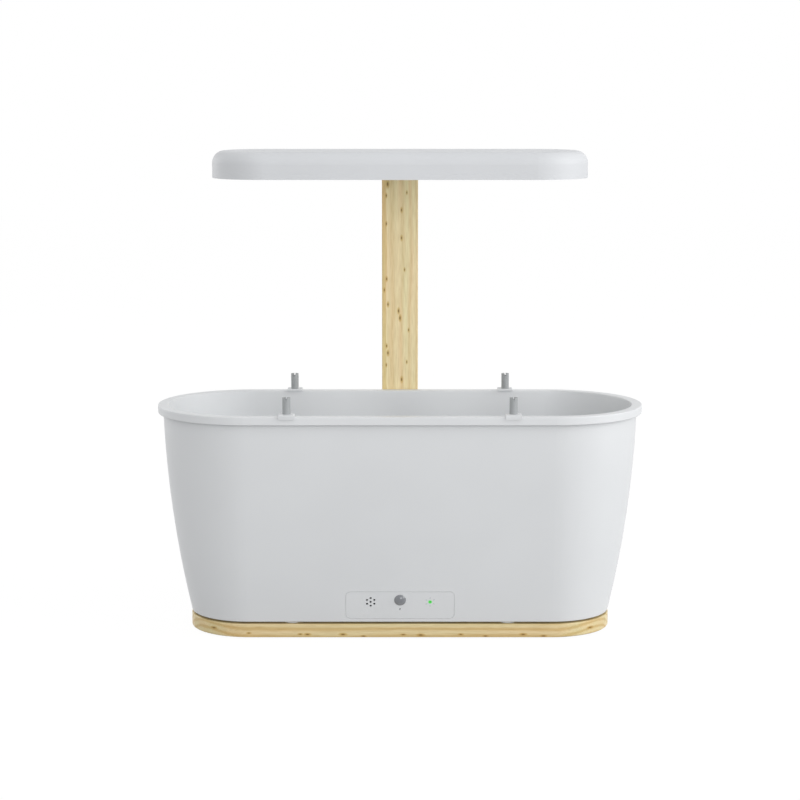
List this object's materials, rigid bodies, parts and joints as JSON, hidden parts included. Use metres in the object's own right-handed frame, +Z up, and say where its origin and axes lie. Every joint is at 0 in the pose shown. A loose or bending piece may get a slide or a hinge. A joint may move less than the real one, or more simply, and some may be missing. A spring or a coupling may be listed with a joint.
{
  "type": "countertop hydroponic garden",
  "caption": "Oval white tub on a pine board, with crowned pegs on its rim and an oval grow lamp over it on a pine post behind.",
  "frame": {"origin": "under the middle of the tub, in the plane that the rubber feet stand on", "axes": "+X along the tub to the right, +Y to the rear, towards the post, +Z up"},
  "size_m": [0.48, 0.2104, 0.4749],
  "materials": {
    "pine_board": "clear matt finish, straight grain with small knots",
    "pine_post": "clear matt finish, grain runs up the post",
    "pine_strip": "clear matt finish",
    "white_shell": "satin white",
    "white_tub": "satin white",
    "white_panel": "satin white",
    "white_lamp": "satin white",
    "white_arm": "satin white",
    "white_deck": "satin white",
    "smoked_dome": "smoked, glossy",
    "green_light": "clear green",
    "grey_clip": "pale grey",
    "grey_peg": "satin grey",
    "black_rubber": "matt",
    "steel_screw": "zinc plated",
    "black_plastic": "moulded",
    "heat_metal": "mill finish",
    "green_board": "solder mask",
    "white_board": "white solder mask",
    "led_package": "phosphor",
    "milky_diffuser": "milky",
    "lead_jacket": "soft grey jacket",
    "black_lead": "soft black jacket",
    "impeller_blue": "moulded",
    "steel_shaft": "ground",
    "clear_tube": "clear",
    "float_foam": "closed-cell foam",
    "black_cup": "moulded",
    "sponge_brown": "open-cell sponge"
  },
  "bodies": {
    "stand": {"base_board": "pine_board", "rubber_feet": "black_rubber", "post": "pine_post", "cable_cover": "pine_strip", "outer_shell": "white_shell", "inner_tub": "white_tub", "control_panel": "white_panel", "sensor_dome": "smoked_dome", "status_lens": "green_light", "lamp_housing": "white_lamp", "lamp_arm": "white_arm", "lamp_diffuser": "milky_diffuser", "led_board": "white_board", "leds": "led_package", "heat_spreader": "heat_metal", "lamp_terminal": "black_plastic", "base_screws": "steel_screw", "pad_screws": "steel_screw", "arm_screws": "steel_screw", "lamp_screws": "steel_screw", "cable_duct": "white_arm", "lamp_lead": "lead_jacket", "pump_lead": "black_lead", "inlet_lead": "black_lead", "control_board": "green_board", "board_parts": "black_plastic", "buzzer": "black_plastic", "dc_inlet": "black_plastic", "pump_motor": "black_plastic", "pump_chamber": "black_plastic", "pump_cover": "black_plastic", "pump_shaft": "steel_shaft", "riser_tube": "clear_tube", "drip_cap": "black_cup", "float_stem": "black_plastic"},
    "deck": {"grow_deck": "white_deck", "lid_frame": "white_deck"},
    "lid": {"fill_lid": "white_deck"},
    "float": {"level_float": "float_foam"},
    "impeller": {"pump_impeller": "impeller_blue"},
    "cup_1": {"net_cup_1": "black_cup", "sponge_1": "sponge_brown"},
    "cup_2": {"net_cup_2": "black_cup", "sponge_2": "sponge_brown"},
    "cup_3": {"net_cup_3": "black_cup", "sponge_3": "sponge_brown"},
    "cup_4": {"net_cup_4": "black_cup", "sponge_4": "sponge_brown"},
    "cup_5": {"net_cup_5": "black_cup", "sponge_5": "sponge_brown"},
    "cup_6": {"net_cup_6": "black_cup", "sponge_6": "sponge_brown"},
    "clip_1": {"rim_clip_1": "grey_clip", "support_peg_1": "grey_peg"},
    "clip_2": {"rim_clip_2": "grey_clip", "support_peg_2": "grey_peg"},
    "clip_3": {"rim_clip_3": "grey_clip", "support_peg_3": "grey_peg"},
    "clip_4": {"rim_clip_4": "grey_clip", "support_peg_4": "grey_peg"}
  },
  "joints": [
    {"name": "deck_lift", "type": "slide", "parent": "stand", "child": "deck", "axis": [0, 0, 1], "range_m": [0, 0.12]},
    {"name": "lid_hinge", "type": "hinge", "parent": "deck", "child": "lid", "pos_m": [0.18101, 0, 0.1982], "axis": [0, -1, 0], "range_deg": [0, 100]},
    {"name": "float_rise", "type": "slide", "parent": "stand", "child": "float", "axis": [0, 0, 1], "range_m": [0, 0.078]},
    {"name": "impeller_spin", "type": "hinge", "parent": "stand", "child": "impeller", "pos_m": [0, 0, 0.0639], "axis": [0, 0, 1], "continuous": true},
    {"name": "cup_lift_1", "type": "slide", "parent": "deck", "child": "cup_1", "axis": [0, 0, 1], "range_m": [0, 0.065]},
    {"name": "cup_lift_2", "type": "slide", "parent": "deck", "child": "cup_2", "axis": [0, 0, 1], "range_m": [0, 0.065]},
    {"name": "cup_lift_3", "type": "slide", "parent": "deck", "child": "cup_3", "axis": [0, 0, 1], "range_m": [0, 0.065]},
    {"name": "cup_lift_4", "type": "slide", "parent": "deck", "child": "cup_4", "axis": [0, 0, 1], "range_m": [0, 0.065]},
    {"name": "cup_lift_5", "type": "slide", "parent": "deck", "child": "cup_5", "axis": [0, 0, 1], "range_m": [0, 0.065]},
    {"name": "cup_lift_6", "type": "slide", "parent": "deck", "child": "cup_6", "axis": [0, 0, 1], "range_m": [0, 0.065]},
    {"name": "clip_lift_1", "type": "slide", "parent": "stand", "child": "clip_1", "axis": [0, 0, 1], "range_m": [0, 0.02]},
    {"name": "clip_lift_2", "type": "slide", "parent": "stand", "child": "clip_2", "axis": [0, 0, 1], "range_m": [0, 0.02]},
    {"name": "clip_lift_3", "type": "slide", "parent": "stand", "child": "clip_3", "axis": [0, 0, 1], "range_m": [0, 0.02]},
    {"name": "clip_lift_4", "type": "slide", "parent": "stand", "child": "clip_4", "axis": [0, 0, 1], "range_m": [0, 0.02]}
  ]
}
